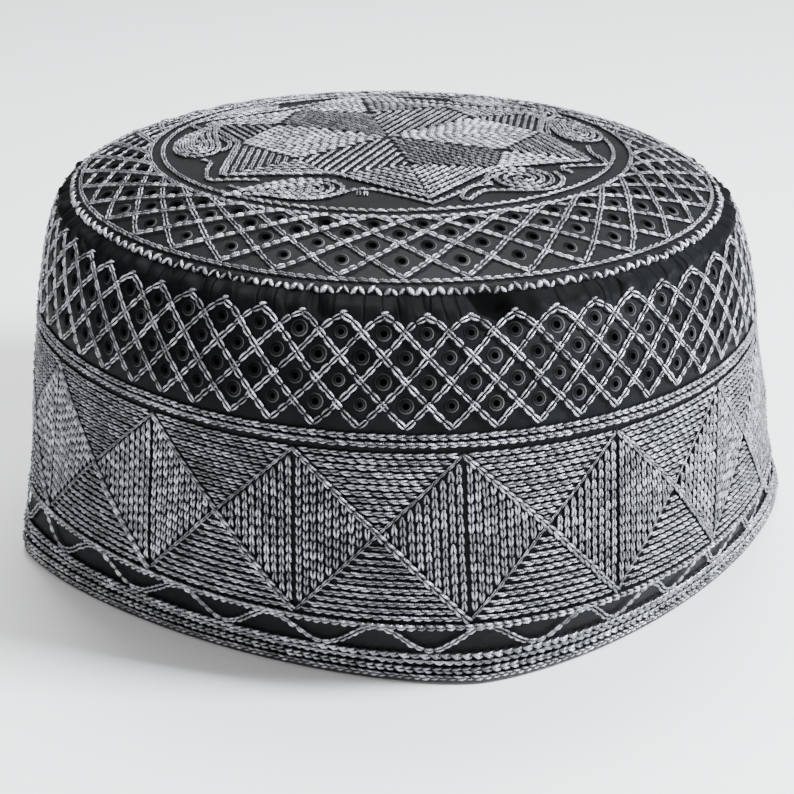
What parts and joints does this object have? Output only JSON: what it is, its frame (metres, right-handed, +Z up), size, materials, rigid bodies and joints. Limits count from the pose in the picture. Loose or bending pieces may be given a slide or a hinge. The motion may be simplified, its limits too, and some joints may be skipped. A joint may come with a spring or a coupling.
{
  "type": "embroidered kufi cap",
  "caption": "Soft brimless flat-topped prayer cap of black cloth, covered with silver grey chain-stitch embroidery and open underneath for the head.",
  "frame": {"origin": "on the surface that the hem rests on, at the middle of the cap's box seen from above", "axes": "+Z up towards the crown, -Y towards the front of the cap, which the picture faces a little from the left, +X towards the cap's own left side, which is on the right in the picture"},
  "size_m": [0.1974, 0.1982, 0.1],
  "materials": {
    "black_cloth": "black woven cloth with a dull satin sheen",
    "silver_thread": "silver grey embroidery thread with a soft silk shine",
    "black_binding": "matt black folded cloth edge"
  },
  "bodies": {
    "root": {"side_band": "black_cloth", "crown_panel": "black_cloth", "crown_seam": "silver_thread", "hem_binding": "black_binding"}
  },
  "joints": []
}
